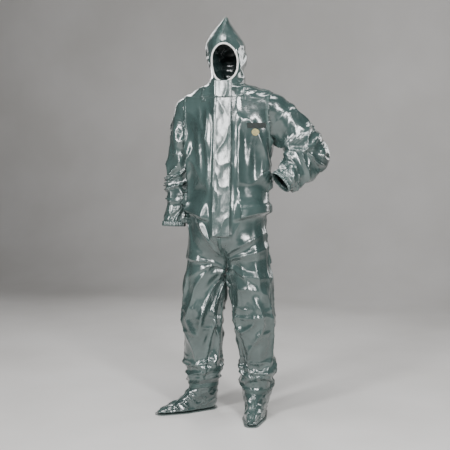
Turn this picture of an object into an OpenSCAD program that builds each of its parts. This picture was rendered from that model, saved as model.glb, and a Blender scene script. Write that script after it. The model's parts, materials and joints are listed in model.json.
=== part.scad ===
// Hooded chemical protective coverall with attached sock boots, standing as it is worn,
// with its left cuff at the hip. It faces -Y, +X is the wearer's left, and the floor is Z = 0.
// Fabric pieces are shells cut from one body form along the seams. Millimetres.

/* [Wearer] */
// Height of the wearer that the suit is cut for
stature = 1830; // [1780:10:1880]
// How far the right boot turns out, in degrees
right_toe_out = 42; // [25:1:45]
// How far the left boot turns out, in degrees
left_toe_out = 12; // [0:1:25]

/* [Body] */
// Width under the armholes
chest_w = 424; // [416:2:428]
// Width at the waist
waist_w = 362; // [350:2:390]
// How far the waist is shifted to the wearer's right by the hand at the left hip
waist_shift = 18; // [0:1:24]
// Width at the hips
hip_w = 418; // [406:2:424]
// Depth at the chest, before the flat front closure
chest_d = 300; // [290:2:320]
// Thickness of the fabric solids
wall = 4; // [3:0.5:5]

/* [Sleeves] */
// Radius of the right sleeve at the elbow
right_elbow_r = 62; // [56:1:66]
// Radius of the left sleeve at the elbow
left_elbow_r = 78; // [72:1:82]
// Radius of the left sleeve's fullness above its cuff
left_blouse_r = 68; // [60:1:70]
// Inner radius of the two cuff hems
cuff_r = 52; // [48:1:54]
// Length of a cuff hem
hem_l = 16; // [12:1:20]

/* [Hood] */
// Greatest width of the hood
hood_w = 194; // [184:2:204]
// Height of the peak above the wearer's crown
peak_h = 90; // [60:5:110]
// How far the hood's peak leans to the wearer's right
hood_lean = 20; // [0:1:24]
// How far the face opening turns to the wearer's left, in degrees
hood_turn = 10; // [0:1:14]
// Width of the face opening
face_w = 124; // [114:2:136]
// Height of the face opening
face_h = 172; // [164:2:174]
// Width of the white elastic round the face
elastic_w = 6; // [5:0.5:8]

/* [Front closure] */
// Width of the storm flap
flap_w = 86; // [76:2:96]
// How far the flap's sewn edge is from the zip
flap_sewn_x = 30; // [26:1:34]
// Thickness of a flap
flap_t = 2.4; // [2:0.2:3]
// Room between the front panels and the flap
flap_gap = 9; // [9:0.5:11]
// Width of one zip tape
zip_tape_w = 16; // [14:1:18]
// Spacing of the zip's teeth
tooth_pitch = 5; // [4:1:6]

/* [Seams] */
// Width of the seam tapes
tape_w = 22; // [16:1:26]
// Thickness of the seam tapes
tape_t = 1; // [0.8:0.1:1.2]

/* [Boots] */
// From the ankle's centre to the toe's tip
toe_l = 265; // [250:5:275]
// Thickness of the boot soles
sole_t = 5; // [4:0.5:6]
// Height of the seam between the leg and the boot
boot_h = 128; // [120:2:140]

/* [Hidden] */
fine = 30;      // sides of a section
slice = 0.5;    // thickness of the discs that a hull joins
gap = 0.4;      // space between pieces that are sewn to each other
lift = 0.25;    // space between a tape and the fabric under it
far = 3000;     // larger than the suit

function up(share) = share * stature;
function unit(v) = v / norm(v);

// Heights that several pieces share.
crotch_z = up(0.4235);
zip_low_z = up(0.484);
waist_z = up(0.568);
armhole_z = up(0.790);
neck_z = up(0.8335);
nape_z = up(0.869);
nape_y = 100;
chin_z = up(0.877);
face_z = up(0.9205);
peak_z = stature + peak_h;

// The flat front closure: a plane that leans back towards the chin.
front_y = -155;
front_lean = 2.9;

armhole_x = chest_w / 2 + 3;
right_elbow_x = armhole_x + right_elbow_r + 8;

// A section is [height, centre x, centre y, half width, half depth].
body_sections = [
    [crotch_z, -4, 0, hip_w / 2 - 3, 0.42 * chest_d],
    [up(0.468), -2, 0, hip_w / 2, 0.565 * chest_d],
    [up(0.508), -waist_shift / 2, 0, hip_w / 2 - 3, 0.56 * chest_d],
    [waist_z, -waist_shift, -5, waist_w / 2, 0.527 * chest_d],
    [up(0.626), -waist_shift, -4, 0.25 * waist_w + 0.25 * chest_w, 0.523 * chest_d],
    [up(0.727), 0, 0, chest_w / 2, 0.5 * chest_d],
    [up(0.787), 0, 5, chest_w / 2, 0.47 * chest_d]
];
// The shoulders' ridge runs from the neck to the armholes.
neck_section = [up(0.8765), -0.2 * hood_lean, -10, hood_w / 2 - 27, 0.36 * chest_d];
hood_sections = [
    neck_section - [44, 0, 0, 0, 0],
    neck_section,
    [up(0.902), -0.4 * hood_lean, -8, hood_w / 2 - 17, 0.38 * chest_d],
    [up(0.924), -0.6 * hood_lean, -4, hood_w / 2 - 6, 0.4 * chest_d],
    [up(0.948), -0.8 * hood_lean, 0, hood_w / 2, 0.413 * chest_d],
    [up(0.970), -hood_lean, 2, hood_w / 2 - 2, 0.4 * chest_d],
    [up(0.992), -1.2 * hood_lean, 6, hood_w / 2 - 14, 0.36 * chest_d],
    [up(1.017), -1.5 * hood_lean, 12, hood_w / 2 - 42, 0.25 * chest_d],
    [peak_z, -1.8 * hood_lean, 20, 9, 13]
];
right_leg_sections = [
    [boot_h - 30, -148, 47, 76, 82],
    [up(0.1235), -151, 22, 86, 90],
    [up(0.1885), -155, 4, 93, 96],
    [up(0.268), -147, -10, 101, 104],
    [up(0.333), -134, -5, 103, 108],
    [crotch_z, -116, 0, 103, 124],
    [up(0.4535), -112, 0, 98, 126]
];
left_leg_sections = [
    [boot_h - 30, 119, 62, 82, 86],
    [up(0.1235), 137, 32, 92, 94],
    [up(0.1885), 141, 6, 94, 98],
    [up(0.268), 133, -15, 112, 114],
    [up(0.333), 122, -8, 112, 118],
    [crotch_z, 112, 0, 104, 126],
    [up(0.4535), 108, 0, 98, 126]
];

// The sleeves' centre lines, from inside the shoulder to the cuff, with a radius at each point.
right_arm = [
    [10 - armhole_x, 5, armhole_z + 20],
    [-armhole_x - 30, 5, up(0.752)],
    [-right_elbow_x, 6, up(0.668)],
    [-right_elbow_x, -15, up(0.5055)]
];
right_arm_r = [80, 78, right_elbow_r, cuff_r + wall];
left_arm = [
    [armhole_x - 10, 8, armhole_z + 25],
    [armhole_x + 112, 45, up(0.747)],
    [armhole_x + 177, 80, up(0.6915)],
    [armhole_x + 57, -32, up(0.6225)]
];
left_arm_r = [84, 84, left_elbow_r, cuff_r + wall];
blouse_l = 32; // from the fullest place of a sleeve to its cuff

function leg_sections(side) = side > 0 ? left_leg_sections : right_leg_sections;
function arm(side) = side > 0 ? left_arm : right_arm;
function arm_r(side) = side > 0 ? left_arm_r : right_arm_r;
function blouse_r(side) = side > 0 ? left_blouse_r : cuff_r + wall + 3;
function elbow_i(side) = len(arm(side)) - 2;
function elbow(side) = arm(side)[elbow_i(side)];
function cuff(side) = arm(side)[elbow_i(side) + 1];
function lower_dir(side) = unit(cuff(side) - elbow(side));
function ankle(side) = [leg_sections(side)[0][1], leg_sections(side)[0][2], 0];
function toe_out(side) = side > 0 ? left_toe_out : -right_toe_out;

// How far the outline reaches from the wearer's centre line: the left elbow, the right
// elbow, the seat's seam and the left boot's toe. The origin is under the outline's centre.
reach_left = left_arm[2][0] + left_elbow_r;
reach_right = right_elbow_x + right_elbow_r;
reach_back = body_sections[1][4] + lift + tape_t;
reach_front = (toe_l - 34) * cos(left_toe_out) + 36 - left_leg_sections[0][2];
centre_x = (reach_right - reach_left) / 2;
centre_y = (reach_front - reach_back) / 2;

// Seams between front and back, as [y, z] from the neck down to the boots.
side_seam = [
    [3, far], [3, waist_z + 14], [2, crotch_z + 14], [-7, up(0.3)], [9, up(0.195)],
    [35, up(0.13)], [56, boot_h - 15], [56, -50]
];

suit_colour = [0.42, 0.49, 0.46];
tape_colour = [0.46, 0.53, 0.50];
lining_colour = [0.86, 0.87, 0.84];
elastic_colour = [0.95, 0.95, 0.93];
zip_colour = [0.16, 0.20, 0.19];
metal_colour = [0.55, 0.57, 0.57];
sole_colour = [0.20, 0.25, 0.24];

// ---------- shapes ----------

// Turns +Z to a direction at a point.
module at_dir(p, d)
    translate(p)
        rotate([0, acos(d[2] / norm(d)), atan2(d[1], d[0])])
            children();

module section_disc(s, inset)
    translate([s[1], s[2], s[0]])
        scale([max(s[3] - inset, 1), max(s[4] - inset, 1), 1])
            cylinder(r = 1, h = slice, $fn = fine);

// A closed form through elliptical sections, from the lowest to the highest.
module stack(sections, inset) {
    last = len(sections) - 1;
    points = [
        for (s = sections, k = [0 : fine - 1])
            [s[1] + max(s[3] - inset, 1) * cos(360 * k / fine),
             s[2] + max(s[4] - inset, 1) * sin(360 * k / fine), s[0]]
    ];
    sides = [
        for (i = [0 : last - 1], k = [0 : fine - 1])
            let (a = i * fine + k, b = i * fine + (k + 1) % fine)
                each [[a, a + fine, b + fine], [a, b + fine, b]]
    ];
    bottom = [for (k = [0 : fine - 1]) k];
    top = [for (k = [fine - 1 : -1 : 0]) last * fine + k];
    polyhedron(points, concat(sides, [bottom, top]));
}

// The shoulders, from the chest to the armholes and the neck.
module shoulder_form(inset)
    hull() {
        translate([0, 0, -15]) section_disc(body_sections[len(body_sections) - 1], inset + 2);
        section_disc(neck_section, inset + 3);
        for (side = [-1, 1])
            translate([0, arm(side)[0][1], arm(side)[0][2]])
                rotate([0, side * 90, 0])
                    cylinder(r = arm_r(side)[0] + 1.5 - inset, h = armhole_x - 1, $fn = fine);
    }

// A sleeve from its centre line. The last point moves out by reach, so that an inner form
// cuts the cuff open.
module sleeve_form(side, inset, reach) {
    last = elbow_i(side);
    full = cuff(side) - blouse_l * lower_dir(side);
    for (i = [0 : last - 1])
        hull() {
            translate(arm(side)[i]) sphere(r = arm_r(side)[i] - inset, $fn = fine);
            translate(arm(side)[i + 1]) sphere(r = arm_r(side)[i + 1] - inset, $fn = fine);
        }
    hull() {
        translate(elbow(side)) sphere(r = arm_r(side)[last] - inset, $fn = fine);
        at_dir(full, lower_dir(side)) cylinder(r = blouse_r(side) - inset, h = slice, $fn = fine);
    }
    hull() {
        at_dir(full, lower_dir(side)) cylinder(r = blouse_r(side) - inset, h = slice, $fn = fine);
        at_dir(cuff(side) + reach * lower_dir(side), lower_dir(side))
            cylinder(r = arm_r(side)[last + 1] - inset, h = slice, $fn = fine);
    }
}

module foot_disc(side, along, r, z, h, inset)
    translate(ankle(side))
        rotate([0, 0, toe_out(side)])
            translate([0, -along, z])
                cylinder(r = max(r - inset, 1), h = h, $fn = fine);

// The sock boot, loose over a shoe, from the floor to the ankle.
module boot_form(side, inset) {
    low = sole_t + gap + max(inset, 0);
    hull() {
        foot_disc(side, -14, 48, low, 30 - inset, inset);
        foot_disc(side, 120, 56, low, 22 - inset, inset);
    }
    hull() {
        foot_disc(side, 120, 56, low, 22 - inset, inset);
        foot_disc(side, toe_l - 34, 34, low, 16 - inset, inset);
        foot_disc(side, 100, 40, low, 62 - inset, inset);
        foot_disc(side, toe_l - 60, 30, low, 32 - inset, inset);
    }
    hull() {
        foot_disc(side, -14, 48, low, 30 - inset, inset);
        foot_disc(side, 100, 42, low, 60 - inset, inset);
        foot_disc(side, 40, 50, low, 84 - inset, inset);
        translate([0, 0, 30]) section_disc(leg_sections(side)[0], inset + 3);
    }
}

// The whole suit's form. A positive inset is inside the fabric, a negative one is outside.
module form(inset) {
    intersection() {
        union() {
            stack(body_sections, inset);
            shoulder_form(inset);
        }
        translate([0, front_y + inset, zip_low_z])
            rotate([-front_lean, 0, 0])
                translate([-far / 2, 0, -far / 2]) cube(far);
        if (inset > 0) translate([-far / 2, -far / 2, crotch_z + inset]) cube(far);
    }
    stack(hood_sections, inset);
    for (side = [-1, 1]) {
        stack(leg_sections(side), inset);
        boot_form(side, inset);
        sleeve_form(side, inset, inset > 0 ? 20 : 0);
    }
}

module shell() difference() {
    form(0);
    form(wall);
}

// A skin just outside the fabric, for seam tapes.
module tape_skin() difference() {
    form(-lift - tape_t);
    form(-lift);
}

module face_hole(margin, depth)
    translate([-0.6 * hood_lean, 0, face_z])
        rotate([90, 0, hood_turn])
            scale([face_w / 2 + margin, face_h / 2 + margin, 1])
                cylinder(r = 1, h = depth, $fn = 48);

// ---------- regions between seams ----------

// The neck seam, as [y, z] from the throat up round the neck to the nape.
neck_seam = [[-far, neck_z], [-72, neck_z], [-28, nape_z], [far, nape_z]];
neck_seam_w = 196;
module above_neck(offset) {
    rotate([90, 0, 90])
        translate([0, 0, offset - neck_seam_w / 2])
            linear_extrude(neck_seam_w - 2 * offset)
                polygon(concat([for (p = neck_seam) [p[0], p[1] + offset]], [[far, far], [-far, far]]));
    translate([-far / 2, -far / 2, nape_z + offset]) cube(far);
}

// Everything below the neck seam, between the armholes and above the boots. The legs may
// reach past the armholes.
module body_region() difference() {
    translate([-far / 2, -far / 2, boot_h + gap / 2]) cube([far, far, far]);
    above_neck(-gap / 2);
    for (side = [-1, 1])
        translate([side > 0 ? armhole_x : -far - armhole_x, -far / 2, up(0.47)])
            cube([far, far, far]);
}

module front_region(shift)
    rotate([90, 0, 90])
        translate([0, 0, -far / 2])
            linear_extrude(far)
                polygon(concat(
                    [[-far, -50], [-far, far]],
                    [for (p = side_seam) [p[0] + shift, p[1]]]
                ));

module on_hood_side(side, margin)
    translate([side > 0 ? margin - hood_lean : -far - margin - hood_lean, -far / 2, -50])
        cube([far, far, far]);

module on_side(side, margin)
    translate([side > 0 ? margin : -far - margin, -far / 2, -50])
        cube([far, far, far]);

// The slot between the front panels, where the zip is.
module zip_slot(half_w)
    translate([-half_w, -far, zip_low_z - 12])
        cube([2 * half_w, far, far]);

// ---------- fabric panels ----------

module front_panel(side)
    color(suit_colour) intersection() {
        difference() {
            shell();
            zip_slot(5);
        }
        body_region();
        front_region(-gap / 2);
        on_side(side, gap / 2);
    }

module back_panel(side)
    color(suit_colour) difference() {
        intersection() {
            shell();
            body_region();
            on_side(side, gap / 2);
        }
        front_region(gap / 2);
    }

module hood_half(side) intersection() {
    shell();
    above_neck(gap / 2);
    on_hood_side(side, gap / 2);
    translate([-armhole_x, -far / 2, 0]) cube([2 * armhole_x, far, far]);
}

// A hood panel is one piece of cloth. It is drawn as an upper and a lower solid, with the
// fold of a hood that is pushed back between them.
module hood_panel(side)
    color(suit_colour) difference() {
        hood_half(side);
        face_hole(elastic_w + gap / 2, far);
        translate([-far / 2, -far / 2, nape_z + gap / 2 - far]) cube(far);
    }

module throat_panel(side)
    color(suit_colour) difference() {
        hood_half(side);
        translate([-far / 2, -far / 2, nape_z - gap / 2]) cube(far);
    }

module face_elastic()
    color(elastic_colour) intersection() {
        difference() {
            form(-1);
            form(wall + 1);
        }
        difference() {
            face_hole(elastic_w, far);
            face_hole(0, far);
        }
        above_neck(0);
    }

module sleeve(side)
    color(suit_colour) intersection() {
        shell();
        on_side(side, armhole_x + gap / 2);
        translate([-far / 2, -far / 2, zip_low_z - 40]) cube(far);
    }

module cuff_hem(side)
    color(tape_colour)
        at_dir(cuff(side), lower_dir(side))
            translate([0, 0, slice + gap])
                rotate_extrude($fn = 96)
                    translate([cuff_r, 0]) square([wall, hem_l]);

module boot_upper(side)
    color(suit_colour) intersection() {
        shell();
        on_side(side, 0);
        translate([-far / 2, -far / 2, sole_t + gap])
            cube([far, far, boot_h - sole_t - 1.5 * gap]);
    }

// The sole's outline stands a little past the upper, with round heel, ball and toe.
module boot_sole(side)
    color(sole_colour)
        hull() {
            foot_disc(side, -14, 50, 0, sole_t, 0);
            foot_disc(side, 120, 58, 0, sole_t, 0);
            foot_disc(side, toe_l - 34, 36, 0, sole_t, 0);
        }

// ---------- seam tapes ----------

module slab_x(x, w) translate([x - w / 2, -far / 2, -50]) cube([w, far, far]);
module slab_z(z, w) translate([-far / 2, -far / 2, z - w / 2]) cube([far, far, w]);

module behind() difference() {
    translate([-far / 2, -far / 2, -50]) cube(far);
    front_region(0);
}

module along_side_seam()
    difference() {
        front_region(tape_w / 2);
        front_region(-tape_w / 2);
    }

module side_seam_tape(side)
    color(tape_colour) intersection() {
        tape_skin();
        along_side_seam();
        body_region();
        on_side(side, 125);
        translate([-far / 2, -far / 2, boot_h + 14])
            cube([far, far, up(0.7) - boot_h]);
    }

module inseam_tape(side)
    color(tape_colour) intersection() {
        tape_skin();
        along_side_seam();
        on_side(side, 0);
        on_side(-side, side > 0 ? -115 : -105);
        translate([-far / 2, -far / 2, boot_h + 14])
            cube([far, far, crotch_z - boot_h - 30]);
    }

module shoulder_seam_tape(side)
    color(tape_colour) intersection() {
        tape_skin();
        along_side_seam();
        on_side(side, neck_seam_w / 2 + 2);
        translate([-armhole_x + 16, -far / 2, up(0.8)])
            cube([2 * armhole_x - 32, far, nape_z - 16 - up(0.8)]);
    }

module back_seam_tape()
    color(tape_colour) intersection() {
        tape_skin();
        slab_x(0, tape_w);
        behind();
        translate([-far / 2, -far / 2, crotch_z + 5]) cube([far, far, nape_z - crotch_z - 22]);
    }

module crotch_seam_tape()
    color(tape_colour) intersection() {
        tape_skin();
        slab_x(0, tape_w);
        front_region(0);
        translate([-far / 2, -far / 2, crotch_z + 5]) cube([far, far, zip_low_z - crotch_z - 24]);
    }

module neck_seam_tape()
    color(tape_colour) difference() {
        intersection() {
            tape_skin();
            above_neck(-14);
        }
        above_neck(-4);
        front_flat(2 * flap_w + 2);
    }

// The front, as wide as w, that the flaps and the zip need clear.
module front_flat(w) translate([-w / 2, -far - 60, -50]) cube([w, far, far]);

module armhole_seam_tape(side)
    color(tape_colour) intersection() {
        tape_skin();
        slab_x(side * (armhole_x - gap - 7), 14);
        slab_z(armhole_z, 300);
        difference() {
            slab_x(0, 2 * armhole_x);
            slab_z(up(0.70), 60);
        }
    }

module boot_seam_tape(side)
    color(tape_colour) intersection() {
        tape_skin();
        slab_z(boot_h, tape_w);
        on_side(side, 0);
    }

module boot_toe_seam_tape(side)
    color(tape_colour) intersection() {
        tape_skin();
        translate(ankle(side))
            rotate([0, 0, toe_out(side)])
                translate([-tape_w / 2, -toe_l - 20, sole_t + 8]) cube([tape_w, toe_l, far]);
        slab_z(boot_h / 2, boot_h - 30);
    }

module hood_crown_seam_tape()
    color(tape_colour) intersection() {
        tape_skin();
        slab_x(-hood_lean, tape_w);
        difference() {
            above_neck(12);
            face_hole(elastic_w + 3, far);
            translate([-far / 2, -far, 0]) cube([far, far, face_z]);
        }
    }

// ---------- front closure, drawn in the closure's own frame ----------

// X is across, Z runs up the closure, and -Y stands out from it. Its origin is the zip's low end.
module on_closure()
    translate([0, front_y, zip_low_z]) rotate([-front_lean, 0, 0]) children();

closure_l = (neck_z - zip_low_z) / cos(front_lean);
chin_flap_l = (chin_z - neck_z) / cos(front_lean);
zip_l = closure_l - 8;
tape_y = -1.5;          // the zip tape's front face
teeth_d = 2;            // how far the teeth stand out
teeth_w = 4;            // how far a row of teeth reaches from the centre

module closure_box(x0, x1, y0, y1, z0, z1)
    on_closure() translate([x0, y0, z0]) cube([x1 - x0, y1 - y0, z1 - z0]);

module zip_tape(side)
    color(zip_colour)
        closure_box(side > 0 ? 0.2 : -zip_tape_w - 0.2, side > 0 ? zip_tape_w + 0.2 : -0.2,
                    tape_y, -0.3, 0, zip_l);

// One row of teeth as a comb. The other row stands half a pitch higher.
module zip_teeth(side)
    color(zip_colour) on_closure() {
        n = floor((zip_l - 24) / tooth_pitch);
        tooth = 0.38 * tooth_pitch;
        start = 10 + (side > 0 ? tooth_pitch / 2 : 0);
        comb = [for (i = [0 : n - 1])
            each [[1.4, i * tooth_pitch], [-0.7, i * tooth_pitch],
                  [-0.7, i * tooth_pitch + tooth], [1.4, i * tooth_pitch + tooth]]];
        translate([0, tape_y - 0.1, start])
            scale([side, 1, 1])
                rotate([90, 0, 0])
                    linear_extrude(teeth_d)
                        polygon(concat(comb, [[teeth_w, (n - 1) * tooth_pitch + tooth], [teeth_w, 0]]));
    }

module zip_stop(z, w)
    closure_box(-w / 2, w / 2, tape_y - 3, tape_y - 0.1, z, z + 4);

module zip_bottom_stop() color(metal_colour) zip_stop(4, 9);

module zip_top_stops()
    color(metal_colour)
        for (side = [-1, 1])
            translate([side * 3.6, 0, 0]) zip_stop(zip_l - 7, 4);

// Two wings round the teeth, joined by a wedge, with a bridge for the pull tab.
slider_z = zip_l - 34;
slider_l = 20;
wing_t = 1.2;
module zip_slider()
    color(metal_colour) on_closure() {
        front = tape_y - 0.1 - teeth_d - 0.4;
        difference() {
            translate([-6.5, front - wing_t, slider_z]) cube([13, wing_t, slider_l]);
            translate([0, 0, slider_z - 1]) rotate([0, 45, 0]) cube([3, 40, 3], center = true);
        }
        translate([-3, front - wing_t - 1.8, slider_z + 3]) cube([6, 1.9, 3]);
        translate([0, front - wing_t - 1.8 + 0.1, slider_z + 4.5])
            rotate([90, 0, 0]) cylinder(r = 1.5, h = 1.5, $fn = 32);
    }

// A flat tab that hangs on the slider's stud and swings to either side.
pull_l = 22;
module zip_pull_tab()
    color(metal_colour) on_closure()
        translate([0, tape_y - 0.1 - teeth_d - 0.4 - wing_t - 1.8, slider_z + 4.5])
            rotate([90, 0, 0])
                difference() {
                    translate([0, 0, 0.15]) linear_extrude(1.2)
                        union() {
                            circle(r = 4, $fn = 40);
                            translate([-3, -pull_l]) square([6, pull_l]);
                            translate([0, -pull_l]) circle(r = 5, $fn = 40);
                        }
                    cylinder(r = 1.56, h = 10, center = true, $fn = 40);
                    translate([0, -pull_l]) cylinder(r = 2, h = 10, center = true, $fn = 40);
                }

module flap(z0, z1)
    closure_box(-flap_sewn_x, flap_w - flap_sewn_x, -flap_gap - flap_t, -flap_gap, z0, z1);

module storm_flap() color(suit_colour) flap(-6, closure_l - 3);
module chin_flap() color(suit_colour) flap(closure_l - 1, closure_l + chin_flap_l - 4);

// The fold that carries a flap out from the front panel, under the flap's sewn edge. The flap
// turns about the corner where its inner face meets that edge, so it always clears the fold.
module flap_fold(z0, z1)
    closure_box(gap - flap_sewn_x, gap + 2.4 - flap_sewn_x, gap - flap_gap, -lift, z0, z1);

module storm_flap_fold() color(suit_colour) flap_fold(-6, closure_l - 3);
module chin_flap_fold() color(suit_colour) flap_fold(closure_l - 1, closure_l + chin_flap_l - 4);

strip_w = 18;
strip_t = 0.8;
strip_x = flap_w - flap_sewn_x - strip_w - 5;

module storm_flap_adhesive_strip()
    color(lining_colour)
        closure_box(strip_x, strip_x + strip_w, -flap_gap + 0.1, -flap_gap + 0.1 + strip_t, 12, closure_l - 14);
module chin_flap_adhesive_strip()
    color(lining_colour)
        closure_box(strip_x, strip_x + strip_w, -flap_gap + 0.1, -flap_gap + 0.1 + strip_t,
                    closure_l + 8, closure_l + chin_flap_l - 14);
module flap_landing_strip()
    color(lining_colour)
        closure_box(strip_x, strip_x + strip_w, -lift - strip_t, -lift, 12, closure_l - 14);

// ---------- label ----------

// A blank label on the left chest, standing on the front panel's slope.
label_x = 160;
label_z = up(0.755);
module label_skin() difference() {
    form(-lift - 0.8);
    form(-lift);
}
module chest_label()
    color([0.30, 0.37, 0.34]) intersection() {
        label_skin();
        translate([label_x - 38, -far, label_z]) cube([76, far, 24]);
    }
module chest_label_patch()
    color([0.86, 0.82, 0.62]) intersection() {
        label_skin();
        translate([label_x - 4, 0, label_z - 19])
            rotate([90, 0, 0]) cylinder(r = 16, h = far, $fn = 32);
    }

// ---------- nodes ----------

module placed() translate([centre_x, centre_y, 0]) children();

placed() front_panel(1);  // front_left_panel
placed() front_panel(-1);  // front_right_panel
placed() back_panel(1);  // back_left_panel
placed() back_panel(-1);  // back_right_panel
placed() hood_panel(1);  // hood_left_panel
placed() hood_panel(-1);  // hood_right_panel
placed() throat_panel(1);  // throat_left_panel
placed() throat_panel(-1);  // throat_right_panel
placed() face_elastic();
placed() hood_crown_seam_tape();
placed() sleeve(1);  // left_sleeve
placed() cuff_hem(1);  // left_cuff_hem
placed() sleeve(-1);  // right_sleeve
placed() cuff_hem(-1);  // right_cuff_hem
placed() boot_upper(1);  // left_boot_upper
placed() boot_sole(1);  // left_boot_sole
placed() boot_seam_tape(1);  // left_boot_seam_tape
placed() boot_toe_seam_tape(1);  // left_boot_toe_seam_tape
placed() boot_upper(-1);  // right_boot_upper
placed() boot_sole(-1);  // right_boot_sole
placed() boot_seam_tape(-1);  // right_boot_seam_tape
placed() boot_toe_seam_tape(-1);  // right_boot_toe_seam_tape
placed() side_seam_tape(1);  // left_side_seam_tape
placed() side_seam_tape(-1);  // right_side_seam_tape
placed() inseam_tape(1);  // left_inseam_tape
placed() inseam_tape(-1);  // right_inseam_tape
placed() shoulder_seam_tape(1);  // left_shoulder_seam_tape
placed() shoulder_seam_tape(-1);  // right_shoulder_seam_tape
placed() armhole_seam_tape(1);  // left_armhole_seam_tape
placed() armhole_seam_tape(-1);  // right_armhole_seam_tape
placed() back_seam_tape();
placed() crotch_seam_tape();
placed() neck_seam_tape();
placed() zip_tape(1);  // zip_tape_left
placed() zip_tape(-1);  // zip_tape_right
placed() zip_teeth(1);  // zip_teeth_left
placed() zip_teeth(-1);  // zip_teeth_right
placed() zip_bottom_stop();
placed() zip_top_stops();
placed() zip_slider();
placed() zip_pull_tab();
placed() storm_flap();
placed() storm_flap_fold();
placed() storm_flap_adhesive_strip();
placed() flap_landing_strip();
placed() chin_flap();
placed() chin_flap_fold();
placed() chin_flap_adhesive_strip();
placed() chest_label();
placed() chest_label_patch();
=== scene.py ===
"""The looks of a hooded chemical protective coverall, built round its CAD frame. Metres, +Z up."""
import json
import math

import bmesh
import bpy
import numpy as np
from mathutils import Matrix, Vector, geometry, noise
from mathutils.bvhtree import BVHTree


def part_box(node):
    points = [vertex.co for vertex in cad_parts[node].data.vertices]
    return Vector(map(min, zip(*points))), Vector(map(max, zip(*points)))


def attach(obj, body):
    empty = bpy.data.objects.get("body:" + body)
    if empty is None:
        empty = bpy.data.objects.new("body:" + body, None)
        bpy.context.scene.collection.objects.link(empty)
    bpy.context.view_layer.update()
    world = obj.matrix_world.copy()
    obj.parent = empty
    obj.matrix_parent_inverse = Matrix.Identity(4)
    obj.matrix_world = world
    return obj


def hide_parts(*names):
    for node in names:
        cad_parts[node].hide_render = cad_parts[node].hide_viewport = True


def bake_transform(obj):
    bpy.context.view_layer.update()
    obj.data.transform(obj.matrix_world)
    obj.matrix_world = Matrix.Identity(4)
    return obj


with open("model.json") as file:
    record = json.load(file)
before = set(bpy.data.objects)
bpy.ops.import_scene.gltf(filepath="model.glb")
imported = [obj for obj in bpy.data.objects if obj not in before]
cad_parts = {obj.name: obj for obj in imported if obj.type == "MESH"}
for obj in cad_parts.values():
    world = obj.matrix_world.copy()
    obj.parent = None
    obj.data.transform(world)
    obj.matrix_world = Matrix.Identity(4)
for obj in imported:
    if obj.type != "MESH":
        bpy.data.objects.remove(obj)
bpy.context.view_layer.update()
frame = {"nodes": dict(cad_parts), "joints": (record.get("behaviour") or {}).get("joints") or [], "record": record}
NODES = frame["nodes"]
JOINTS = {joint["name"]: joint for joint in frame["joints"]}
MOUNTS = {mount["name"]: mount for mount in frame["record"]["mounts"]}
SPACES = {space["name"]: np.array(space["box_m"]) for space in frame["record"]["physics"]["openings"]}

SIDES = {"right": -1, "left": 1}
BODY_PANELS = ["front_left_panel", "front_right_panel", "back_left_panel", "back_right_panel"]
HOOD_PANELS = ["hood_left_panel", "hood_right_panel", "throat_left_panel", "throat_right_panel"]
BODY = "torso_and_legs"
RING = 40               # points in each ring of a form
CLOTH_CELL = 0.0095     # cell size of the cloth's mesh
INNER_CELL = 0.020      # and of the form that it settles on
SETTLE_FRAMES = 40


# ---------- places that the frame gives ----------

def low(node):
    return np.array(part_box(node)[0])


def high(node):
    return np.array(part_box(node)[1])


def middle(node):
    return (low(node) + high(node)) / 2


ZIP_X = (low("zip_tape_right")[0] + high("zip_tape_left")[0]) / 2
HOOD_X = middle("hood_crown_seam_tape")[0]
CROTCH_Z = low("crotch_seam_tape")[2] - 0.005
ZIP_LOW_Z = low("zip_tape_left")[2]
NECK_Z = low("throat_left_panel")[2]
NAPE_Z = low("hood_left_panel")[2]
PEAK_Z = high("hood_right_panel")[2]
BOOT_Z = high("left_boot_upper")[2]
SOLE_Z = high("left_boot_sole")[2]
ARMHOLE = {name: np.array(JOINTS[name + "_arm_swing"]["pos_m"]) for name in SIDES}
CUFF = {name: np.array(MOUNTS[name + "_cuff"]["pos_m"]) for name in SIDES}
CUFF_AXIS = {name: np.array(MOUNTS[name + "_cuff"]["axis"]) for name in SIDES}
CUFF_R = MOUNTS["left_cuff"]["dims"]["r_mm"] / 1000
HEM_L = MOUNTS["left_cuff"]["dims"]["length_mm"] / 1000
FACE = np.array(MOUNTS["face_opening"]["pos_m"])
FACE_AXIS = np.array(MOUNTS["face_opening"]["axis"])
FACE_ACROSS = np.array((-FACE_AXIS[1], FACE_AXIS[0], 0))
ELASTIC_W = 0.006       # how far the face elastic reaches out from the opening's edge
FACE_SIZE = (high("face_elastic") - low("face_elastic"))[[0, 2]] / 2 / (-FACE_AXIS[1], 1) - ELASTIC_W
CLOSURE_UP = -np.array(JOINTS["zip_slide"]["axis"])
CLOSURE_OUT = -np.array(JOINTS["zip_pull_swing"]["axis"])


def arm_route(name):
    """Points down the middle of a sleeve, from the armhole to the cuff."""
    if name == "right":
        inside = [SPACES["right_arm"].mean(0) + (0, 0, share * np.ptp(SPACES["right_arm"][:, 2]))
                  for share in (0.4, 0.1)]
    else:
        inside = [SPACES["left_" + part].mean(0) for part in ("upper_arm", "elbow", "forearm")]
    return np.array([ARMHOLE[name], *inside, CUFF[name] - CUFF_AXIS[name] * (HEM_L / 2 + 0.006)])


# ---------- the cloth's base form, measured from the CAD shells ----------

def triangles(nodes):
    parts = []
    for name in nodes:
        mesh = NODES[name].data
        mesh.calc_loop_triangles()
        corners = np.array([v.co for v in mesh.vertices])
        parts.append(corners[np.array([t.vertices for t in mesh.loop_triangles])])
    return np.concatenate(parts)


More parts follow.
